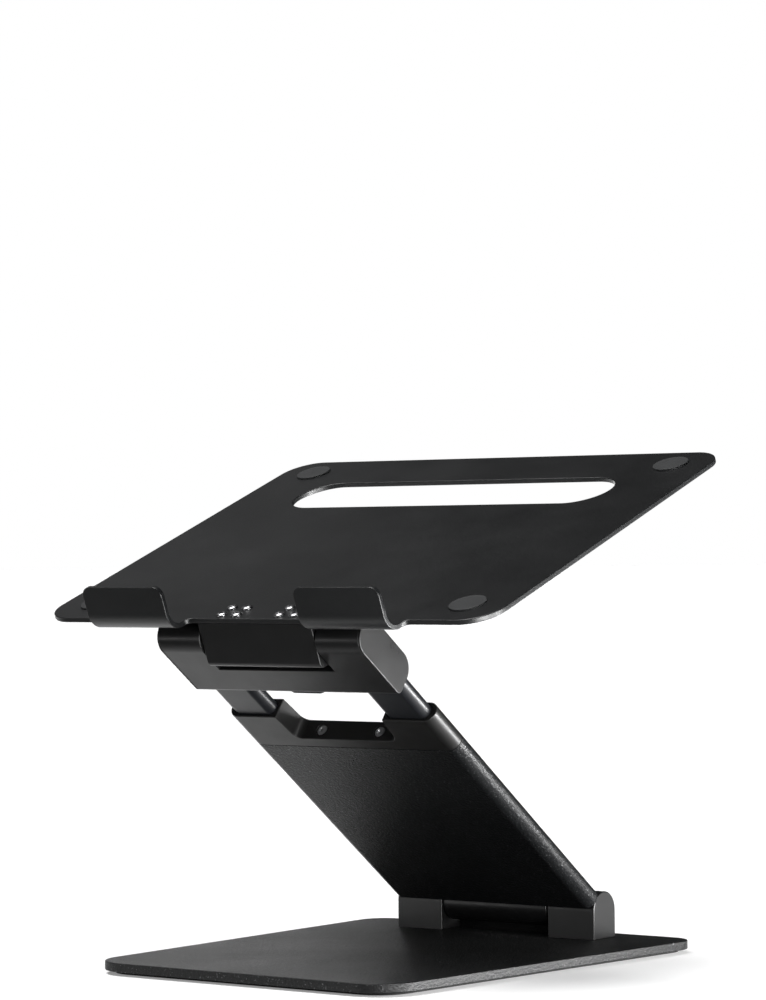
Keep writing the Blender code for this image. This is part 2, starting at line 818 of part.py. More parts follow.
knuckle_profile = rounded(
    [
        (KNUCKLE_FRONT, KNUCKLE_LOW),
        (KNUCKLE_REAR, KNUCKLE_LOW),
        (KNUCKLE_REAR, TRAY_TOP - TRAY_T - GAP),
        (KNUCKLE_FRONT, TRAY_TOP - TRAY_T - GAP),
    ],
    [3.0 * MM, 9.0 * MM, 0, 0],
    8,
)
hub = prism(
    "tray_knuckle", [knuckle_profile], -KNUCKLE_HALF, KNUCKLE_HALF, "X", coat("tray_knuckle_coat"), tray, chamfer=0.3 * MM
)
bore = cut_turned(
    "cut_hub_bore",
    stepped_bore(
        4.6 * MM, [(22.0 * MM, 5.15 * MM), (KNUCKLE_HALF - 0.9 * MM, 7.7 * MM)], KNUCKLE_HALF + 2 * MM
    ),
    (0, 0, 0),
    "X",
    tray,
    24,
)
boolean(hub, bore)
for side, tag in ((-1, "l"), (1, "r")):
    flanged_bush(
        "upper_bush_" + tag, side, 22.3 * MM, KNUCKLE_HALF - 0.7 * MM, NOTCH_HALF - 0.3 * MM, 5.0 * MM, 7.5 * MM, tray
    )

number = 0
for x in (-TRAY_SCREW_X[1], -TRAY_SCREW_X[0], TRAY_SCREW_X[0], TRAY_SCREW_X[1]):
    for y in TRAY_SCREW_Y:
        number += 1
        name = f"tray_screw_{number}"
        drill = cut_turned(
            "cut_" + name, rod(1.65 * MM, 6.1 * MM, TRAY_TOP + 2 * MM), (x, y, 0), "Z", tray, 12
        )
        boolean(hub, drill)
        turned(
            name,
            [
                (0, 6.5 * MM),
                (1.45 * MM, 6.5 * MM),
                (1.45 * MM, TRAY_TOP + 0.2 * MM),
                (2.85 * MM, TRAY_TOP + 0.2 * MM),
                (2.85 * MM, TRAY_TOP + 0.6 * MM),
                (2.1 * MM, TRAY_TOP + 1.15 * MM),
                (0, TRAY_TOP + 1.4 * MM),
            ],
            (x, y, 0),
            "Z",
            steel(name + "_steel"),
            tray,
            12,
        )

for name, x, y in (
    ("pad_front_l", -PAD_X, PAD_FRONT),
    ("pad_front_r", PAD_X, PAD_FRONT),
    ("pad_rear_l", -PAD_X, TRAY_DEPTH - PAD_REAR),
    ("pad_rear_r", PAD_X, TRAY_DEPTH - PAD_REAR),
):
    turned(
        name,
        [
            (0, TRAY_TOP + 0.2 * MM),
            (PAD_R, TRAY_TOP + 0.2 * MM),
            (PAD_R, TRAY_TOP + 0.7 * MM),
            (PAD_R - 0.5 * MM, TRAY_TOP + 1.1 * MM),
            (0, TRAY_TOP + 1.1 * MM),
        ],
        (x, TRAY_FRONT + y, 0),
        "Z",
        rubber(name + "_rubber"),
        tray,
        28,
    )

bpy.context.view_layer.update()
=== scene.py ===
"""Looks of the laptop stand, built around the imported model. Lengths in the piece builders are millimetres in
the local frame of the piece's moving group; every mesh is then placed in the row frame in metres."""

import json
from math import asin, cos, degrees, pi, radians, sin

import bmesh
import bpy
from mathutils import Matrix, Vector
from mathutils.geometry import tessellate_polygon

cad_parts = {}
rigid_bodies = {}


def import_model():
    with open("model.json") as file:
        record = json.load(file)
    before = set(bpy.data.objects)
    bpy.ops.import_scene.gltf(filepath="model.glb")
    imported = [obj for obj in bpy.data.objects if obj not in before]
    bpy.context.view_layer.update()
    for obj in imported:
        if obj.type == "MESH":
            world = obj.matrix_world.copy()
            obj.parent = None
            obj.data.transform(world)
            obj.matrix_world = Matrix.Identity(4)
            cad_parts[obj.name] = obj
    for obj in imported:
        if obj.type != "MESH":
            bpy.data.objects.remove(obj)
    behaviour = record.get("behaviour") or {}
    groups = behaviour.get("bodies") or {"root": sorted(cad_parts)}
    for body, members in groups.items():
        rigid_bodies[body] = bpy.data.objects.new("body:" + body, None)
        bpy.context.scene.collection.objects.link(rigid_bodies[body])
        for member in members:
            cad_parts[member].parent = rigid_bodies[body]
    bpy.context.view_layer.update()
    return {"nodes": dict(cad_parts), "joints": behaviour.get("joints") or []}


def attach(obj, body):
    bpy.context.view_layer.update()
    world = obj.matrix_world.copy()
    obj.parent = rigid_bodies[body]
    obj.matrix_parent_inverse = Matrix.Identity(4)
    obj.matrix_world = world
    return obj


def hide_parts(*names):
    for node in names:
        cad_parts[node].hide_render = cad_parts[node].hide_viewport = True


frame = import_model()
scene = bpy.context.scene

# ------------------------------------------------------------------ where the frame puts things

joints = {j["name"]: j for j in frame["joints"]}
LOW = Vector(joints["arm_hinge"]["pos_m"])
UP = Vector(joints["tray_tilt"]["pos_m"])
LEAN = asin(joints["arm_slide"]["axis"][2])
MM = 0.001
TILT = radians(21.07)
TO_BASE = Matrix.Scale(MM, 4)
TO_ARM = Matrix.Translation(LOW) @ Matrix.Rotation(pi / 2 - LEAN, 4, "X") @ Matrix.Scale(MM, 4)
TO_SLIDER = Matrix.Translation(UP) @ Matrix.Rotation(pi / 2 - LEAN, 4, "X") @ Matrix.Scale(MM, 4)
TO_TRAY = Matrix.Translation(UP) @ Matrix.Rotation(TILT, 4, "X") @ Matrix.Scale(MM, 4)
LOW_Y, LOW_Z = LOW.y / MM, LOW.z / MM

workshop = bpy.data.collections.new("workshop")  # cutters live here until they are used
scene.collection.children.link(workshop)


# ------------------------------------------------------------------ outlines

def arc(cx, cy, r, start, end, steps):
    return [
        (cx + r * cos(start + (end - start) * i / steps), cy + r * sin(start + (end - start) * i / steps))
        for i in range(steps + 1)
    ]


def circle(cx, cy, r, steps):
    return arc(cx, cy, r, 0, 2 * pi * (steps - 1) / steps, steps - 1)


def stadium(half_w, half_t, steps=16, cx=0.0, cy=0.0):
    c = half_w - half_t
    return arc(cx + c, cy, half_t, -pi / 2, pi / 2, steps) + arc(cx - c, cy, half_t, pi / 2, 3 * pi / 2, steps)


def rounded(corners, radii, steps=10):
    out = []
    for i, corner in enumerate(corners):
        b = Vector(corner)
        r = radii[i]
        if r <= 0:
            out.append(tuple(b))
            continue
        to_a = (Vector(corners[i - 1]) - b).normalized()
        to_c = (Vector(corners[(i + 1) % len(corners)]) - b).normalized()
        half = to_a.angle(to_c) / 2
        centre = b + (to_a + to_c).normalized() * (r / sin(half))
        p = b + to_a * (r * cos(half) / sin(half)) - centre
        q = b + to_c * (r * cos(half) / sin(half)) - centre
        sweep = p.angle_signed(q) * -1
        for k in range(steps + 1):
            t = sweep * k / steps
            out.append((centre.x + p.x * cos(t) - p.y * sin(t), centre.y + p.x * sin(t) + p.y * cos(t)))
    return out


def offset(loop, d):
    """The loop moved d to its right, which is out of the material on an anticlockwise outline and into the
    hole on a clockwise one."""
    out = []
    n = len(loop)
    for i in range(n):
        p, a, b = Vector(loop[i]), Vector(loop[i - 1]), Vector(loop[(i + 1) % n])
        e1, e2 = (p - a).normalized(), (b - p).normalized()
        n1, n2 = Vector((e1.y, -e1.x)), Vector((e2.y, -e2.x))
        m = (n1 + n2).normalized()
        out.append(p + m * (d / max(0.35, m.dot(n1))))
    return out


def edge_profile(low, high, r_low, r_high, steps=5, guard=0.12):
    """Rounded edges from the low cap to the high cap, as (offset, height). A narrow guard ring keeps the flat
    caps flat in shading."""
    out = []
    if r_low > 0:
        out.append((-r_low - guard, low))
        out += [(-r_low + r_low * sin(t), low + r_low - r_low * cos(t)) for t in [pi / 2 * k / steps for k in range(steps + 1)]]
    else:
        out.append((0.0, low))
    if r_high > 0:
        out += [(-r_high + r_high * cos(t), high - r_high + r_high * sin(t)) for t in [pi / 2 * k / steps for k in range(steps + 1)]]
        out.append((-r_high - guard, high))
    else:
        out.append((0.0, high))
    return out


# ------------------------------------------------------------------ solids

PLACE = {
    "Z": lambda a, b, c: (a, b, c),
    "X": lambda a, b, c: (c, a, b),  # outline given as (y, z)
    "Y": lambda a, b, c: (a, -c, b),  # outline given as (x, z), height towards -Y
}


def cap(bm, rings, down):
    if len(rings) == 1:
        ring = rings[0]
        bm.faces.new(ring[::-1] if down else ring)
        return
    flat = [v for ring in rings for v in ring]
    for tri in tessellate_polygon([[v.co for v in ring] for ring in rings]):
        try:
            bm.faces.new([flat[i] for i in tri])
        except ValueError:
            pass


def solid(loops, profiles, axis="Z", pockets=()):
    """Extruded outline with shaped edges. loops: the outer one anticlockwise, holes clockwise, each with its
    own profile from the low cap to the high one. pockets: (clockwise loop, profile, end) for blind holes."""
    place = PLACE[axis]
    bm = bmesh.new()
    lows, highs = [], []

    def strip(loop, profile):
        rings = [[bm.verts.new(place(p[0], p[1], z)) for p in offset(loop, d)] for d, z in profile]
        for a, b in zip(rings, rings[1:]):
            n = len(a)
            for i in range(n):
                bm.faces.new((a[i], a[(i + 1) % n], b[(i + 1) % n], b[i]))
        return rings

    for loop, profile in zip(loops, profiles):
        rings = strip(loop, profile)
        lows.append(rings[0])
        highs.append(rings[-1])
    for loop, profile, end in pockets:
        rings = strip(loop, profile)
        if end == "low":
            lows.append(rings[0])
            bm.faces.new(rings[-1])
        else:
            highs.append(rings[-1])
            bm.faces.new(rings[0][::-1])
    cap(bm, lows, True)
    cap(bm, highs, False)
    bmesh.ops.recalc_face_normals(bm, faces=bm.faces)
    return bm


def lathe(profile, axis="Z", at=(0, 0, 0), steps=64, ring=False):
    """(radius, height) points turned round the axis. A ring profile is closed and clear of the axis."""
    place = PLACE[axis]
    bm = bmesh.new()
    columns = []
    for k in range(steps):
        t = 2 * pi * k / steps
        column = []
        for r, h in profile:
            if r < 1e-9:
                column.append(None)
            else:
                x, y, z = place(r * cos(t), r * sin(t), h)
                column.append(bm.verts.new((at[0] + x, at[1] + y, at[2] + z)))
        columns.append(column)
    poles = {}
    for i, (r, h) in enumerate(profile):
        if r < 1e-9:
            x, y, z = place(0, 0, h)
            poles[i] = bm.verts.new((at[0] + x, at[1] + y, at[2] + z))
    pairs = [(i, i + 1) for i in range(len(profile) - 1)]
    if ring:
        pairs.append((len(profile) - 1, 0))
    for k in range(steps):
        a, b = columns[k], columns[(k + 1) % steps]
        for i, j in pairs:
            corners = [poles.get(i) or a[i], poles.get(i) or b[i], poles.get(j) or b[j], poles.get(j) or a[j]]
            unique = []
            for v in corners:
                if v not in unique:
                    unique.append(v)
            if len(unique) > 2:
                bm.faces.new(unique)
    bmesh.ops.recalc_face_normals(bm, faces=bm.faces)
    return bm


def to_object(name, bm, home=None):
    mesh = bpy.data.meshes.new(name)
    bm.to_mesh(mesh)
    bm.free()
    obj = bpy.data.objects.new(name, mesh)
    (home or scene.collection).objects.link(obj)
    return obj


def carve(obj, cutters, operation="DIFFERENCE"):
    """Cuts each of the bmesh cutters out of obj, or joins them to it, and keeps the result as its mesh."""
    for bm in cutters:
        other = to_object("cutter", bm, workshop)
        mod = obj.modifiers.new("cut", "BOOLEAN")
        mod.operation = operation
        mod.solver = "EXACT"
        mod.object = other
        bpy.context.view_layer.update()
        mesh = bpy.data.meshes.new_from_object(obj.evaluated_get(bpy.context.evaluated_depsgraph_get()))
        obj.modifiers.remove(mod)
        old = obj.data
        obj.data = mesh
        bpy.data.meshes.remove(old)
        spare = other.data
        bpy.data.objects.remove(other)
        bpy.data.meshes.remove(spare)
    return obj


def ease(obj, width, segments=3, limit=28.0, where=None):
    """Rounds the sharp edges that where() picks."""
    bm = bmesh.new()
    bm.from_mesh(obj.data)
    bmesh.ops.remove_doubles(bm, verts=bm.verts, dist=2e-4)
    bmesh.ops.dissolve_degenerate(bm, dist=1e-4, edges=bm.edges)
    bmesh.ops.dissolve_limit(bm, angle_limit=radians(0.3), verts=bm.verts, edges=bm.edges, delimit={"NORMAL"})
    picked = []
    for e in bm.edges:
        if len(e.link_faces) == 2 and e.calc_face_angle(0.0) > radians(limit):
            a, b = e.verts[0].co, e.verts[1].co
            if where is None or where(a, b, e):
                picked.append(e)
    bmesh.ops.bevel(
        bm, geom=picked, offset=width, offset_type="OFFSET", segments=segments, profile=0.5, affect="EDGES",
        clamp_overlap=False,
    )
    bmesh.ops.recalc_face_normals(bm, faces=bm.faces)
    bm.to_mesh(obj.data)
    bm.free()
    return obj


def settle(obj, to, body, nodes, material, sharp=32.0, weighted=True):
    """Places a finished mesh in the row frame and hands it to the frame."""
    obj.data.transform(to)
    obj.data.materials.clear()
    obj.data.materials.append(material)
    obj.data.shade_smooth()
    obj.data.set_sharp_from_angle(angle=radians(sharp))
    if weighted:
        mod = obj.modifiers.new("even_normals", "WEIGHTED_NORMAL")
        mod.mode = "FACE_AREA"
        mod.weight = 50
        mod.keep_sharp = True
    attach(obj, body)
    if nodes:
        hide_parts(*nodes)
    return obj


# ------------------------------------------------------------------ materials

def new_material(name):
    mat = bpy.data.materials.new(name)
    mat.use_nodes = True
    tree = mat.node_tree
    shader = tree.nodes["Principled BSDF"]
    coords = tree.nodes.new("ShaderNodeTexCoord")
    return mat, tree, shader, coords.outputs["Object"]


def noise(tree, coords, per_metre, detail=2.0, rough=0.5, squash=None):
    if squash:
        mapping = tree.nodes.new("ShaderNodeMapping")
        mapping.inputs["Scale"].default_value = squash
        tree.links.new(coords, mapping.inputs["Vector"])
        coords = mapping.outputs["Vector"]
    node = tree.nodes.new("ShaderNodeTexNoise")
    node.inputs["Scale"].default_value = per_metre
    node.inputs["Detail"].default_value = detail
    node.inputs["Roughness"].default_value = rough
    tree.links.new(coords, node.inputs["Vector"])
    return node.outputs["Fac"]


def spread(tree, value, low, high, from_low=0.3, from_high=0.7):
    node = tree.nodes.new("ShaderNodeMapRange")
    node.inputs["From Min"].default_value = from_low
    node.inputs["From Max"].default_value = from_high
    node.inputs["To Min"].default_value = low
    node.inputs["To Max"].default_value = high
    tree.links.new(value, node.inputs["Value"])
    return node.outputs["Result"]


def bump(tree, height, distance, strength=1.0, after=None):
    node = tree.nodes.new("ShaderNodeBump")
    node.inputs["Distance"].default_value = distance
    node.inputs["Strength"].default_value = strength
    tree.links.new(height, node.inputs["Height"])
    if after is not None:
        tree.links.new(after, node.inputs["Normal"])
    return node.outputs["Normal"]


def blend_colour(tree, value, low, high):
    node = tree.nodes.new("ShaderNodeMix")
    node.data_type = "RGBA"
    node.inputs["A"].default_value = (*low, 1.0)
    node.inputs["B"].default_value = (*high, 1.0)
    tree.links.new(value, node.inputs["Factor"])
    return node.outputs["Result"]


def powder_coat(name, colour, rough, specular=0.5, grain=2200.0, depth=0.00006, wave=0.00004, fleck=0.35, spark=0.0):
    """Fine-texture powder coat: a granular skin over a slight orange peel, a few brighter grains, and a
    roughness that drifts slowly over the surface."""
    mat, tree, shader, coords = new_material(name)
    fine = noise(tree, coords, grain, 3.0, 0.65)
    cells = tree.nodes.new("ShaderNodeTexVoronoi")
    cells.inputs["Scale"].default_value = grain * 0.62
    tree.links.new(coords, cells.inputs["Vector"])
    peel = noise(tree, coords, 420.0, 2.0, 0.5)
    drift = noise(tree, coords, 14.0, 3.0, 0.6)
    normal = bump(tree, peel, wave)
    normal = bump(tree, cells.outputs["Distance"], depth * 0.6, 1.0, normal)
    normal = bump(tree, fine, depth, 1.0, normal)
    tree.links.new(normal, shader.inputs["Normal"])
    dark = tuple(c * 0.82 for c in colour)
    light = tuple(c * 1.22 for c in colour)
    body = blend_colour(tree, spread(tree, drift, 0.0, 1.0, 0.35, 0.65), dark, light)
    grains = spread(tree, fine, 0.0, fleck, 0.60, 0.80)
    lift = tree.nodes.new("ShaderNodeMix")
    lift.data_type = "RGBA"
    lift.inputs["B"].default_value = (*tuple(min(1.0, c * 3.2 + 0.01) for c in colour), 1.0)
    tree.links.new(body, lift.inputs["A"])
    tree.links.new(grains, lift.inputs["Factor"])
    tree.links.new(lift.outputs["Result"], shader.inputs["Base Color"])
    if spark:
        tree.links.new(spread(tree, fine, 0.0, spark, 0.55, 0.67), shader.inputs["Metallic"])
        lift.inputs["B"].default_value = (0.38, 0.385, 0.39, 1.0)
    base = spread(tree, drift, rough - 0.03, rough + 0.03)
    add = tree.nodes.new("ShaderNodeMath")
    add.operation = "ADD"
    tree.links.new(base, add.inputs[0])
    tree.links.new(spread(tree, fine, -0.05, 0.07), add.inputs[1])
    tree.links.new(add.outputs[0], shader.inputs["Roughness"])
    shader.inputs["Specular IOR Level"].default_value = specular
    return mat


def satin(name, colour, rough, specular=0.5, grain=3600.0, depth=0.000012, streak=None):
    """Smooth satin finish, moulded or thinly coated: very fine texture, faint flow marks."""
    mat, tree, shader, coords = new_material(name)
    fine = noise(tree, coords, grain, 2.0, 0.6)
    soft = noise(tree, coords, 90.0, 3.0, 0.55, squash=streak)
    drift = noise(tree, coords, 18.0, 2.0, 0.5)
    normal = bump(tree, soft, 0.00002)
    normal = bump(tree, fine, depth, 1.0, normal)
    tree.links.new(normal, shader.inputs["Normal"])
    body = blend_colour(
        tree, spread(tree, drift, 0.0, 1.0, 0.35, 0.65), tuple(c * 0.88 for c in colour), tuple(c * 1.12 for c in colour)
    )
    tree.links.new(body, shader.inputs["Base Color"])
    tree.links.new(spread(tree, soft, rough - 0.035, rough + 0.035), shader.inputs["Roughness"])
    shader.inputs["Specular IOR Level"].default_value = specular
    return mat


def rubbery(name, colour, rough, grain=2600.0, depth=0.00003):
    mat, tree, shader, coords = new_material(name)
    fine = noise(tree, coords, grain, 3.0, 0.7)
    cloud = noise(tree, coords, 120.0, 3.0, 0.6)
    tree.links.new(bump(tree, fine, depth), shader.inputs["Normal"])
    tree.links.new(
        blend_colour(tree, spread(tree, cloud, 0.0, 1.0), tuple(c * 0.85 for c in colour), tuple(c * 1.18 for c in colour)),
        shader.inputs["Base Color"],
    )
    tree.links.new(spread(tree, cloud, rough - 0.05, rough + 0.05), shader.inputs["Roughness"])
    shader.inputs["Specular IOR Level"].default_value = 0.4
    return mat


def plated(name, colour, rough, scratch=(1.0, 1.0, 1.0)):
    """Zinc-plated steel: fine turning marks and cloudy patches."""
    mat, tree, shader, coords = new_material(name)
    marks = noise(tree, coords, 2400.0, 3.0, 0.6, squash=scratch)
    cloud = noise(tree, coords, 700.0, 2.0, 0.5)
    tree.links.new(bump(tree, marks, 0.000006), shader.inputs["Normal"])
    tree.links.new(
        blend_colour(tree, spread(tree, cloud, 0.0, 1.0), tuple(c * 0.86 for c in colour), colour),
        shader.inputs["Base Color"],
    )
    tree.links.new(spread(tree, marks, rough - 0.06, rough + 0.08), shader.inputs["Roughness"])
    shader.inputs["Metallic"].default_value = 1.0
    return mat


def nylon(name):
    mat, tree, shader, coords = new_material(name)
    cloud = noise(tree, coords, 200.0, 3.0, 0.6)
    fine = noise(tree, coords, 3000.0, 2.0, 0.5)
    tree.links.new(bump(tree, fine, 0.00001), shader.inputs["Normal"])
    tree.links.new(blend_colour(tree, cloud, (0.018, 0.018, 0.019), (0.027, 0.027, 0.028)), shader.inputs["Base Color"])
    tree.links.new(spread(tree, cloud, 0.42, 0.55), shader.inputs["Roughness"])
    return mat


BASE_COAT = powder_coat("base_coat", (0.0036, 0.0039, 0.0041), 0.42, 0.38, 1050.0, 0.00020, 0.00001, 0.9, 0.8)
SLEEVE_COAT = powder_coat("sleeve_coat", (0.0058, 0.0062, 0.0066), 0.34, 0.26, 1050.0, 0.00020, 0.00001, 0.9, 0.9)
TRAY_COAT = powder_coat("tray_coat", (0.0058, 0.0062, 0.0066), 0.34, 0.60, 1700.0, 0.00003, 0.00002, 0.25)
HINGE_COAT = satin("hinge_coat", (0.0058, 0.0058, 0.0060), 0.32, 0.40, depth=0.000004)
LUG_COAT = satin("lug_coat", (0.0058, 0.0058, 0.0060), 0.32, 0.45, depth=0.000004)
# painted shade: a darker, duller copy of the lug coat for the bridge, standing in for the shade under the barrel
# between the lugs
BRIDGE_PAINTED_SHADE_COAT = satin("bridge_painted_shade_coat", (0.0030, 0.0030, 0.0031), 0.60, 0.12)
ARM_COAT = satin("inner_arm_coat", (0.0085, 0.0092, 0.0108), 0.34, 0.45, 2000.0, 0.00003, streak=(1.0, 1.0, 0.2))
COLLAR_PLASTIC = satin("collar_plastic", (0.0070, 0.0069, 0.0068), 0.36, 0.42, depth=0.000005)
CAP_PLASTIC = satin("cap_plastic", (0.0056, 0.0056, 0.0057), 0.30, 0.36, depth=0.000004)
PAD_RUBBER = rubbery("pad_rubber", (0.024, 0.025, 0.026), 0.62)
MAT_RUBBER = rubbery("mat_rubber", (0.008, 0.008, 0.008), 0.8, 1400.0, 0.00006)
STOP_RUBBER = rubbery("stop_rubber", (0.010, 0.010, 0.010), 0.7)
SCREW_STEEL = plated("screw_steel", (0.62, 0.62, 0.63), 0.42)
BRIGHT_STEEL = plated("bright_steel", (0.50, 0.50, 0.51), 0.26)
DULL_STEEL = plated("dull_steel", (0.34, 0.34, 0.34), 0.36)
SHAFT_STEEL = plated("shaft_steel", (0.42, 0.42, 0.43), 0.28, scratch=(6.0, 1.0, 1.0))
NYLON = nylon("nylon")


# ------------------------------------------------------------------ base

BASE_T0, BASE_TOP = 1.5, 6.0


def base_outline(inset):
    front, rear, half = 92.0 - inset, 103.6 - inset, 124.5 - inset
    return rounded(
        [(-front, -half), (front, -half), (rear, half), (-rear, half)],
        [22.0 - inset, 22.0 - inset, 15.0 - inset, 15.0 - inset],
        28,
    )


sinks = [circle(s * x, LOW_Y, 2.3, 40)[::-1] for s in (-1, 1) for x in (41.0, 55.5)]
plate = to_object(
    "base_plate_fine",
    solid(
        [base_outline(0.0), *sinks],
        [edge_profile(BASE_T0, BASE_TOP, 0.5, 0.55, 6)] + [[(-2.0, BASE_T0), (0.0, 4.0), (0.0, BASE_TOP)]] * 4,
    ),
)
settle(plate, TO_BASE, "base", ["base_plate"], BASE_COAT)

mat_bm = solid(
    [base_outline(5.0)],
    [edge_profile(0.0, BASE_T0 - 0.1, 0.35, 0.25, 3)],
)
settle(to_object("base_mat_fine", mat_bm), TO_BASE, "base", ["base_mat"], MAT_RUBBER)

lug_outline = rounded(
    [(LOW_Y - 9.85, BASE_TOP + 0.05), (LOW_Y + 9.85, BASE_TOP + 0.05), (LOW_Y + 9.85, LOW_Z + 0.001), (LOW_Y - 9.85, LOW_Z + 0.001)],
    [0, 0, 0, 0],
)[:2] + arc(LOW_Y, LOW_Z, 9.85, 0, pi, 48)
for side, tag in ((-1, "l"), (1, "r")):
    lo, hi = sorted((side * 33.9, side * 62.55))
    inner = "low" if side > 0 else "high"
    bore = circle(LOW_Y, LOW_Z, 4.07, 48)[::-1]
    if inner == "low":
        pocket = (bore, [(-0.35, lo), (0.0, lo + 0.35), (0.0, 58.0)], "low")
    else:
        pocket = (bore, [(0.0, -58.0), (0.0, hi - 0.35), (-0.35, hi)], "high")
    lug = to_object(
        "lug_" + tag + "_fine",
        solid([lug_outline], [edge_profile(lo, hi, 0.55, 0.55, 5)], "X", [pocket]),
    )
    settle(lug, TO_BASE, "base", ["lug_" + tag], LUG_COAT)

bridge = solid(
    [
        rounded(
            [(LOW_Y + 6.5, BASE_TOP + 0.05), (LOW_Y + 9.8, BASE_TOP + 0.05), (LOW_Y + 9.8, 10.5), (LOW_Y + 6.5, 10.5)],
            [0, 0, 0.8, 0.8],
            8,
        )
    ],
    [edge_profile(-33.8, 33.8, 0.1, 0.1, 2)],
    "X",
)
# the bridge between the lugs wears the painted-shade coat
settle(to_object("hinge_bridge_fine", bridge), TO_BASE, "base", ["hinge_bridge"], BRIDGE_PAINTED_SHADE_COAT)


# ------------------------------------------------------------------ arm

def barrel_profile(r, half, round_r, steps=6):
    right = [(r - round_r + round_r * sin(t), half - round_r + round_r * cos(t)) for t in [pi / 2 * (1 - k / steps) for k in range(steps + 1)]]
    return right


SLEEVE = [stadium(63.6, 5.65, 40), stadium(62.4, 4.45, 40)[::-1]]
sleeve = to_object("arm_sleeve_fine", solid(SLEEVE, [edge_profile(10.2, 155.2, 0.35, 0.15, 4, 0.08)] * 2))
settle(sleeve, TO_ARM, "arm", ["arm_sleeve"], SLEEVE_COAT)

# knuckle: barrel with eased ends, a neck and the plug that the sleeve is pushed on
half = 32.6
ends = [(9.5 - 0.6 + 0.6 * sin(t), half - 0.6 + 0.6 * cos(t)) for t in [pi / 2 * k / 6 for k in range(7)]]
barrel_outer = [(8.6, half)] + ends + [(r, -h) for r, h in ends[::-1]] + [(8.6, -half)]
bore_side = [(5.75, half), (5.75, 18.0), (4.6, 18.0)]
bore_profile = bore_side + [(r, -h) for r, h in bore_side[::-1]]
barrel = to_object("arm_knuckle_fine", lathe(barrel_outer + bore_profile[::-1], "X", steps=96, ring=True))
neck = solid(
    [rounded([(-31.4, 6.8), (31.4, 6.8), (31.4, 13.0), (-31.4, 13.0)], [0.6] * 4, 3)],
    [edge_profile(-3.7, 3.7, 0.3, 0.3, 2)],
    "Y",
)
plug = solid([stadium(62.1, 4.15, 24)], [edge_profile(10.6, 34.0, 0.4, 0.8, 3)])
carve(barrel, [neck, plug], "UNION")
settle(barrel, TO_ARM, "arm", ["arm_knuckle"], LUG_COAT, weighted=False)

# collar: oval ring block with the valley, the two bar pockets and the screw recesses cut out of it
COLLAR_LOW, COLLAR_TOP, VALLEY = 155.5, 181.0, 162.5
collar = to_object(
    "arm_collar_fine", solid([stadium(63.6, 5.65, 40)], [edge_profile(COLLAR_LOW, COLLAR_TOP, 0.22, 0.6, 5)])
)
valley_loop = rounded(
    [(-31.4, VALLEY), (31.4, VALLEY), (33.0, COLLAR_TOP - 0.7), (-33.0, COLLAR_TOP - 0.7)], [4.6, 4.6, 0, 0], 16
)[:-1]
right_lip = [(33.0 + 0.7 - 0.7 * cos(t), COLLAR_TOP - 0.7 + 0.7 * sin(t)) for t in [radians(a) for a in (15, 30, 45, 60, 75, 84)]]
left_lip = [(-x, z) for x, z in right_lip[::-1]]
valley_loop = valley_loop + right_lip + [(34.1, COLLAR_TOP + 3), (-34.1, COLLAR_TOP + 3)] + left_lip + [(-33.0, COLLAR_TOP - 0.7)]
rim = [(0.42 - 0.42 * cos(t), 5.65 - 0.42 + 0.42 * sin(t)) for t in [radians(a) for a in (0, 20, 40, 60, 78)]] + [(0.46, 5.90)]
valley = solid([valley_loop], [[(d, -h) for d, h in rim[::-1]] + rim], "Y")
cuts = [valley]
for side in (-1, 1):
    mouth = [(0.3 - 0.3 * cos(t), COLLAR_TOP - 0.3 + 0.3 * sin(t)) for t in [radians(a) for a in (0, 25, 50, 76)]] + [(0.36, COLLAR_TOP + 0.3)]
    cuts.append(solid([stadium(13.1, 4.4, 24, cx=side * 47.6)], [[(0.0, COLLAR_LOW - 2.0)] + mouth]))
    cuts.append(
        lathe(
            [(0, COLLAR_LOW - 2), (1.8, COLLAR_LOW - 2), (1.8, VALLEY - 2.0), (3.2, VALLEY - 2.0), (3.2, VALLEY - 0.2), (3.45, VALLEY + 0.1), (3.45, VALLEY + 1.0), (0, VALLEY + 1.0)],
            at=(side * 18.0, 0, 0),
            steps=48,
        )
    )
carve(collar, cuts)
settle(collar, TO_ARM, "arm", ["arm_collar"], COLLAR_PLASTIC, sharp=30.0)


# ------------------------------------------------------------------ screws

def cross_recess(head_r, top, depth, wide):
    """Two crossed tapering slots with a pointed middle, as a cross-recess driver leaves them."""
    parts = []
    for turn in (0.0, pi / 2):
        bm = bmesh.new()
        reach = head_r * 0.56
        low = [(-reach * 0.45, -wide * 0.35), (reach * 0.45, -wide * 0.35), (reach * 0.45, wide * 0.35), (-reach * 0.45, wide * 0.35)]
        high = [(-reach, -wide / 2), (reach, -wide / 2), (reach, wide / 2), (-reach, wide / 2)]
        rings = []
        for loop, z in ((low, top - depth), (high, top + 0.25)):
            rings.append([bm.verts.new((x * cos(turn) - y * sin(turn), x * sin(turn) + y * cos(turn), z)) for x, y in loop])
        for i in range(4):
            bm.faces.new((rings[0][i], rings[0][(i + 1) % 4], rings[1][(i + 1) % 4], rings[1][i]))
        bm.faces.new(rings[0][::-1])
        bm.faces.new(rings[1])
        bmesh.ops.recalc_face_normals(bm, faces=bm.faces)
        parts.append(bm)
    return parts


def hex_recess(across, top, depth, turn=0.0):
    loop = [(across / 2 / cos(pi / 6) * cos(pi / 3 * k + turn), across / 2 / cos(pi / 6) * sin(pi / 3 * k + turn)) for k in range(6)]
    return solid([loop], [[(0.0, top - depth), (0.0, top - 0.12), (0.25, top + 0.4)]])


def moved(obj, name, at, turn=0.0):
    copy = bpy.data.objects.new(name, obj.data.copy())
    scene.collection.objects.link(copy)
    copy.data.transform(Matrix.Translation(at) @ Matrix.Rotation(turn, 4, "Z"))
    return copy


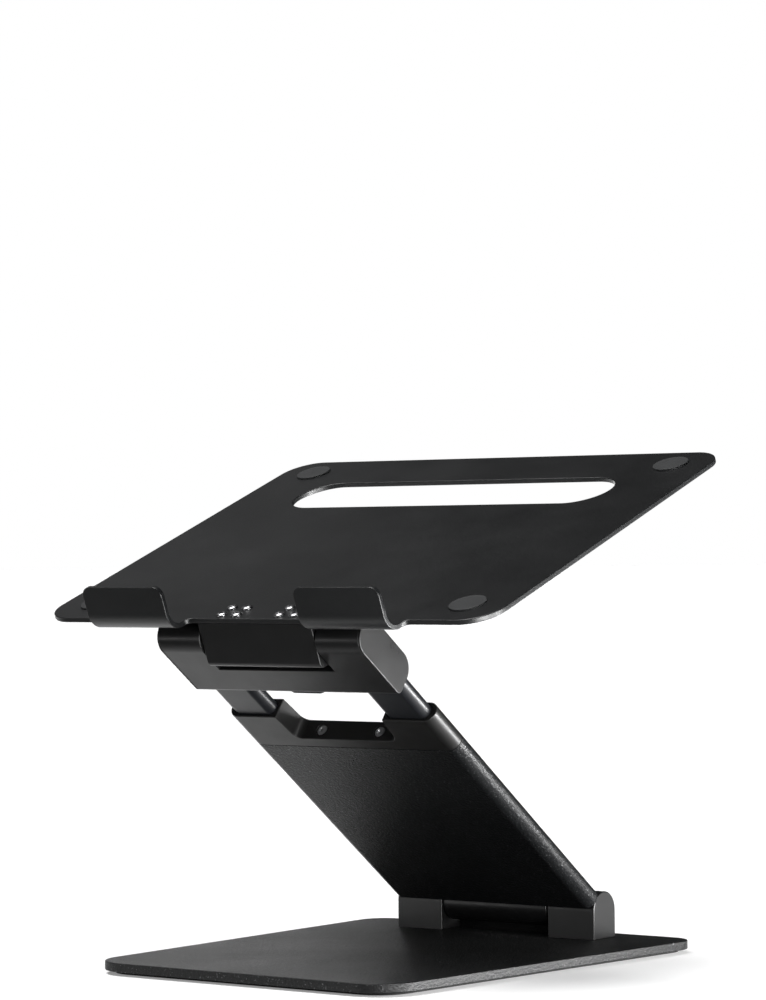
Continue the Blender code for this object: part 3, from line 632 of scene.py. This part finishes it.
# pan-head screws in the valley floor
top = VALLEY + 0.02
pan = to_object(
    "pan_screw",
    lathe([(0, 140), (1.3, 140), (1.5, 140.4), (1.5, top - 1.72), (2.85, top - 1.72), (2.85, top - 0.62), (2.72, top - 0.34), (2.35, top - 0.12), (1.6, top - 0.02), (0, top + 0.03)], steps=48),
    workshop,
)
carve(pan, cross_recess(2.85, top, 1.0, 0.62))
for side, tag, turn in ((-1, "l", 0.5), (1, "r", 0.85)):
    s = moved(pan, "collar_screw_" + tag + "_fine", (side * 18.0, 0, 0), turn)
    settle(s, TO_ARM, "arm", ["collar_screw_" + tag], SCREW_STEEL, sharp=30.0)

# button-head screws in the tray
TRAY_TOP = 13.04
seat = TRAY_TOP + 0.05
dome = [(2.85, seat), (2.85, seat + 0.32), (2.74, seat + 0.58), (2.5, seat + 0.82), (2.1, seat + 1.04), (1.6, seat + 1.2), (1.42, seat + 1.25), (0, seat + 1.28)]
button = to_object(
    "button_screw",
    lathe([(0, 6.5), (1.2, 6.5), (1.45, 6.9), (1.45, seat)] + dome, steps=48),
    workshop,
)
carve(button, [hex_recess(1.9, seat + 1.28, 0.9)])
number = 0
for x in (-22.4, -13.2, 13.2, 22.4):
    for y in (-3.2, 5.4):
        number += 1
        s = moved(button, f"tray_screw_{number}_fine", (x, y, 0), 0.37 * number)
        settle(s, TO_TRAY, "tray", [f"tray_screw_{number}"], BRIGHT_STEEL, sharp=30.0)


# ------------------------------------------------------------------ slider

BLOCK = arc(0, 0, 9.3, 0, pi, 48) + arc(-6.3, -31.0, 3.0, pi, 3 * pi / 2, 14) + arc(0, -24.7, 9.3, 3 * pi / 2, 2 * pi, 24)
block = to_object("hinge_block_fine", solid([BLOCK], [[(0.0, -61.5), (0.0, 61.5)]], "X"))
notch = solid([[(-35.6, -14.4), (35.6, -14.4), (35.6, 14.0), (-35.6, 14.0)]], [[(0.0, -14.0), (0.0, 14.0)]], "Y")
carve(block, [notch])


def block_edge(a, b, e):
    """The ears' inner rims, the notch floor's front and back edges, and the two outer rims."""
    if abs(a.x - b.x) < 1e-3 and abs(abs(a.x) - 61.5) < 0.01:
        return True
    on_face = abs(abs(a.y) - 9.3) < 0.02 and abs(abs(b.y) - 9.3) < 0.02
    if abs(a.z + 14.4) < 0.01 and abs(b.z + 14.4) < 0.01:
        return on_face and abs(a.y - b.y) < 0.01
    return abs(abs(a.x) - 35.6) < 0.01 and abs(a.x - b.x) < 1e-3 and min(a.z, b.z) > -14.41


ease(block, 0.45, 4, 28.0, block_edge)
cuts = [
    lathe([(0, -64), (4.07, -64), (4.07, 64), (0, 64)], "X", steps=48),
    solid([stadium(12.3, 4.9, 20)], [[(0.0, -60.0), (0.0, -31.5)]]),
]
for side in (-1, 1):
    cuts.append(solid([stadium(13.1, 4.4, 24, cx=side * 47.6)], [[(0.0, -60.0), (0.0, -11.9)]]))
    cuts.append(lathe([(0, -16), (2.15, -16), (2.15, 0), (0, 0)], "Y", at=(side * 47.6, 0, -22.0), steps=36))
carve(block, cuts)
settle(block, TO_SLIDER, "slider", ["hinge_block"], HINGE_COAT, sharp=30.0)

for side, tag in ((-1, "l"), (1, "r")):
    lo, hi = sorted((side * 61.56, side * 62.6))
    rims = edge_profile(lo, hi, 0.15, 0.5, 5) if side > 0 else edge_profile(lo, hi, 0.5, 0.15, 5)
    piece = to_object("block_cap_" + tag + "_fine", solid([BLOCK], [rims], "X"))
    settle(piece, TO_SLIDER, "slider", ["block_cap_" + tag], CAP_PLASTIC)

    bar = to_object(
        "inner_arm_" + tag + "_fine",
        solid(
            [stadium(12.8, 4.1, 32, cx=side * 47.6)],
            [edge_profile(-174.0, -12.2, 0.4, 0.4, 3)],
            "Z",
            [(circle(side * 47.6, 0, 1.65, 24)[::-1], [(0.0, -174.0), (0.0, -161.0)], "low")],
        ),
    )
    carve(bar, [lathe([(0, -16), (2.3, -16), (2.3, -1.4), (0, -1.4)], "Y", at=(side * 47.6, 0, -22.0), steps=36)])
    settle(bar, TO_SLIDER, "slider", ["inner_arm_" + tag], ARM_COAT)

    grub = to_object(
        "grub", lathe([(0, 1.8), (1.2, 1.8), (2.0, 2.6), (2.0, 8.75), (1.75, 9.0), (0, 9.0)], steps=36), workshop
    )
    carve(grub, [hex_recess(2.0, 9.0, 2.2)])
    grub.data.transform(Matrix.Rotation(-pi / 2, 4, "X"))
    s = moved(grub, "block_screw_" + tag + "_fine", (side * 47.6, 0, -22.0))
    settle(s, TO_SLIDER, "slider", ["block_screw_" + tag], DULL_STEEL, sharp=30.0)

stop = to_object("block_stop_fine", solid([stadium(12.0, 4.6, 24)], [edge_profile(-41.0, -31.8, 0.9, 0.2, 6)]))
settle(stop, TO_SLIDER, "slider", ["block_stop"], STOP_RUBBER)


# ------------------------------------------------------------------ tray

FRONT, SHEET, DEPTH, HALF = -8.08, 2.5, 225.1, 137.0
HOOK_FLAT, HOOK_R, HOOK_TOP = 4.0, 8.75, 21.8
reach = HOOK_FLAT + HOOK_R * pi / 2 + (HOOK_TOP + SHEET / 2 - HOOK_R)
corners, radii = [(-HALF, 0.0)], [17.6]
for lo, hi in ((-91.0, -40.5), (40.5, 91.0)):
    corners += [(lo, 0.0), (lo, -reach), (hi, -reach), (hi, 0.0)]
    radii += [3.0, 5.0, 5.0, 3.0]
corners += [(HALF, 0.0), (HALF, DEPTH), (-HALF, DEPTH)]
radii += [17.6, 17.6, 17.6]
blank = rounded(corners, radii, 18)
slot = stadium(98.6, (190.4 - 153.8) / 2, 40, cy=(190.4 + 153.8) / 2)[::-1]
holes = [circle(x, y - FRONT, 1.75, 24)[::-1] for x in (-22.4, -13.2, 13.2, 22.4) for y in (-3.2, 5.4)]
sheet_edge = edge_profile(-SHEET / 2, SHEET / 2, 0.38, 0.45, 5, 0.1)
bm = solid(
    [blank, slot, *holes],
    [sheet_edge, sheet_edge] + [[(0.0, -SHEET / 2), (0.0, SHEET / 2)]] * 8,
)
lines = [0.3, 0.0, -HOOK_FLAT + 0.4] + [-HOOK_FLAT - HOOK_R * pi / 2 * i / 18 for i in range(19)] + [-HOOK_FLAT - HOOK_R * pi / 2 - 0.4]
for s in lines:
    bmesh.ops.bisect_plane(bm, geom=bm.verts[:] + bm.edges[:] + bm.faces[:], dist=1e-5, plane_co=(0, s, 0), plane_no=(0, 1, 0))
mid_z = TRAY_TOP - SHEET / 2
for v in bm.verts:
    s, t = v.co.y, v.co.z
    past = -s - HOOK_FLAT
    if past <= 0:
        v.co.y, v.co.z = FRONT + s, mid_z + t
        continue
    turn = min(past / HOOK_R, pi / 2)
    rise = max(0.0, past - HOOK_R * pi / 2)
    v.co.y = FRONT - HOOK_FLAT - (HOOK_R - t) * sin(turn)
    v.co.z = mid_z + HOOK_R - (HOOK_R - t) * cos(turn) + rise
tray = to_object("tray_plate_fine", bm)
settle(tray, TO_TRAY, "tray", ["tray_plate"], TRAY_COAT, sharp=35.0)

hub_outline = rounded(
    [(-8.1, -12.7), (10.4, -12.7), (10.4, TRAY_TOP - SHEET - 0.05), (-8.1, TRAY_TOP - SHEET - 0.05)], [3.0, 9.0, 0, 0], 20
)
hub_bore = circle(0, 0, 4.6, 48)[::-1]
hub = to_object(
    "tray_knuckle_fine",
    solid(
        [hub_outline, hub_bore],
        [
            edge_profile(-34.8, 34.8, 0.45, 0.45, 5),
            [(-3.1, -34.8), (-3.1, -33.9), (-0.55, -33.9), (-0.55, -22.0), (0, -22.0), (0, 22.0), (-0.55, 22.0), (-0.55, 33.9), (-3.1, 33.9), (-3.1, 34.8)],
        ],
        "X",
    ),
)
settle(hub, TO_TRAY, "tray", ["tray_knuckle"], HINGE_COAT)

for name, x, y in (
    ("pad_front_l", -114.1, 19.6),
    ("pad_front_r", 114.1, 19.6),
    ("pad_rear_l", -114.1, DEPTH - 18.4),
    ("pad_rear_r", 114.1, DEPTH - 18.4),
):
    z = TRAY_TOP
    profile = [(0, z + 0.02), (9.25, z + 0.02), (9.25, z + 0.62)]
    profile += [(8.8 + 0.45 * cos(t), z + 0.62 + 0.45 * sin(t)) for t in [radians(a) for a in (22, 45, 68, 90)]]
    profile += [(8.1, z + 1.07), (7.9, z + 1.0), (7.5, z + 0.99), (7.2, z + 1.04), (0, z + 1.1)]
    pad = to_object(name + "_fine", lathe(profile, at=(x, FRONT + y, 0), steps=72))
    settle(pad, TO_TRAY, "tray", [name], PAD_RUBBER, sharp=40.0)


# ------------------------------------------------------------------ pieces that stay as the frame has them

for node, obj in frame["nodes"].items():
    if obj.hide_render:
        continue
    if "shaft" in node:
        stuff = SHAFT_STEEL
    elif "bush" in node or node == "slider_foot":
        stuff = NYLON
    elif node == "sleeve_core":
        stuff = COLLAR_PLASTIC
    elif "screw" in node:
        stuff = DULL_STEEL
    else:
        stuff = HINGE_COAT
    obj.data.materials.clear()
    obj.data.materials.append(stuff)


# ------------------------------------------------------------------ stage, light, camera

def stage_material(name):
    """White sweep. Its colour for bounced light is painted darker towards the front, painted shade that stands in for
    light falling off, and it looks evenly white to the camera.
    """
    mat, tree, shader, coords = new_material(name)
    split = tree.nodes.new("ShaderNodeSeparateXYZ")
    tree.links.new(coords, split.inputs["Vector"])
    # painted shade: the floor's colour for bounced light runs from dark at the front to light further back
    bounce = blend_colour(
        tree, spread(tree, split.outputs["Y"], 0.0, 1.0, -0.26, -0.06), (0.09, 0.09, 0.09), (0.90, 0.90, 0.90)
    )
    path = tree.nodes.new("ShaderNodeLightPath")
    pick = tree.nodes.new("ShaderNodeMix")
    pick.data_type = "RGBA"
    tree.links.new(path.outputs["Is Camera Ray"], pick.inputs["Factor"])
    tree.links.new(bounce, pick.inputs["A"])
    pick.inputs["B"].default_value = (0.80, 0.80, 0.80, 1.0)
    tree.links.new(pick.outputs["Result"], shader.inputs["Base Color"])
    shader.inputs["Roughness"].default_value = 1.0
    shader.inputs["Specular IOR Level"].default_value = 0.0
    lift = tree.nodes.new("ShaderNodeMath")
    lift.operation = "MULTIPLY"
    lift.inputs[1].default_value = 0.25
    tree.links.new(path.outputs["Is Camera Ray"], lift.inputs[0])
    tree.links.new(lift.outputs[0], shader.inputs["Emission Strength"])
    shader.inputs["Emission Color"].default_value = (1.0, 1.0, 1.0, 1.0)
    return mat


bm = bmesh.new()
bmesh.ops.create_circle(bm, cap_ends=True, segments=96, radius=60.0)
floor = to_object("floor", bm)
floor.location.z = -0.0004
floor.data.materials.append(stage_material("floor_paint"))


def area(name, where, towards, size, power, colour=(1.0, 1.0, 1.0), size_y=None, spread_deg=180.0):
    data = bpy.data.lights.new(name, "AREA")
    data.shape = "RECTANGLE"
    data.size = size
    data.size_y = size_y or size
    data.energy = power
    data.color = colour
    data.spread = radians(spread_deg)
    lamp = bpy.data.objects.new(name, data)
    scene.collection.objects.link(lamp)
    lamp.location = where
    lamp.rotation_mode = "QUATERNION"
    lamp.rotation_quaternion = (Vector(towards) - Vector(where)).to_track_quat("-Z", "Y")
    lamp.visible_camera = False
    return lamp


sun_data = bpy.data.lights.new("overhead", "SUN")
sun_data.energy = 3.5
sun_data.angle = radians(40)
sun = bpy.data.objects.new("overhead", sun_data)
scene.collection.objects.link(sun)
sun.rotation_euler = (radians(12), radians(-14), 0)


def around(azimuth, distance, height):
    """A place round the stand; azimuth 0 is in front (-Y), 90 is on its right (+X)."""
    a = radians(azimuth)
    return (distance * sin(a), -distance * cos(a), height)


area("low_right", (0.70, -0.22, 0.11), (0.0, -0.12, 0.09), 0.78, 6.5, size_y=0.22)
area("floor_right", (0.45, -0.28, 0.004), (0.45, -0.28, 1.0), 0.30, 5.0, size_y=0.30)
area("floor_right_back", (0.42, 0.16, 0.035), (0.06, -0.06, 0.06), 0.28, 3.2, size_y=0.06)
area("far_left_low", (-1.38, 1.03, 0.20), (0.0, 0.0, 0.05), 0.95, 1.8, size_y=0.34)
area("near_left", (-0.85, 0.45, 0.60), (0.0, 0.0, 0.18), 0.60, 0.12, size_y=0.60)
area("front_left_low", (-0.75, -0.85, 0.03), (0.0, 0.09, 0.02), 0.60, 0.60, size_y=0.06)

world = bpy.data.worlds.new("studio")
scene.world = world
world.use_nodes = True
tree = world.node_tree
tree.nodes.clear()
out = tree.nodes.new("ShaderNodeOutputWorld")
mix = tree.nodes.new("ShaderNodeMixShader")
seen = tree.nodes.new("ShaderNodeBackground")
seen.inputs["Color"].default_value = (1, 1, 1, 1)
seen.inputs["Strength"].default_value = 1.0
glow = tree.nodes.new("ShaderNodeBackground")
path = tree.nodes.new("ShaderNodeLightPath")
place = tree.nodes.new("ShaderNodeTexCoord")
split = tree.nodes.new("ShaderNodeSeparateXYZ")
ramp = tree.nodes.new("ShaderNodeValToRGB")
tree.links.new(place.outputs["Generated"], split.inputs["Vector"])
tree.links.new(split.outputs["Z"], ramp.inputs["Fac"])
ramp.color_ramp.elements[0].position = 0.0
ramp.color_ramp.elements[0].color = (0.030, 0.031, 0.032, 1)
ramp.color_ramp.elements[1].position = 0.40
ramp.color_ramp.elements[1].color = (0.009, 0.009, 0.010, 1)
tree.links.new(ramp.outputs["Color"], glow.inputs["Color"])
glow.inputs["Strength"].default_value = 1.0
tree.links.new(path.outputs["Is Camera Ray"], mix.inputs["Fac"])
tree.links.new(glow.outputs["Background"], mix.inputs[1])
tree.links.new(seen.outputs["Background"], mix.inputs[2])
tree.links.new(mix.outputs["Shader"], out.inputs["Surface"])

yaw, pitch, roll = 0.6493, 0.0155, -0.0073
forward = Vector((-sin(yaw) * cos(pitch), cos(yaw) * cos(pitch), sin(pitch)))
right = Vector((cos(yaw), sin(yaw), 0.0))
upward = right.cross(forward)
r2 = right * cos(roll) + upward * sin(roll)
u2 = -right * sin(roll) + upward * cos(roll)
cam_data = bpy.data.cameras.new("camera")
cam_data.sensor_width = 36.0
cam_data.lens = 129.56
cam_data.clip_start, cam_data.clip_end = 0.05, 200.0
cam = bpy.data.objects.new("camera", cam_data)
scene.collection.objects.link(cam)
cam.matrix_world = Matrix(
    (
        (r2.x, u2.x, -forward.x, 1.0903),
        (r2.y, u2.y, -forward.y, -1.4406),
        (r2.z, u2.z, -forward.z, 0.2030),
        (0, 0, 0, 1),
    )
)
scene.camera = cam
scene.view_settings.view_transform = "Standard"
scene.view_settings.look = "None"

for left in list(workshop.objects):
    bpy.data.objects.remove(left)
scene.collection.children.unlink(workshop)
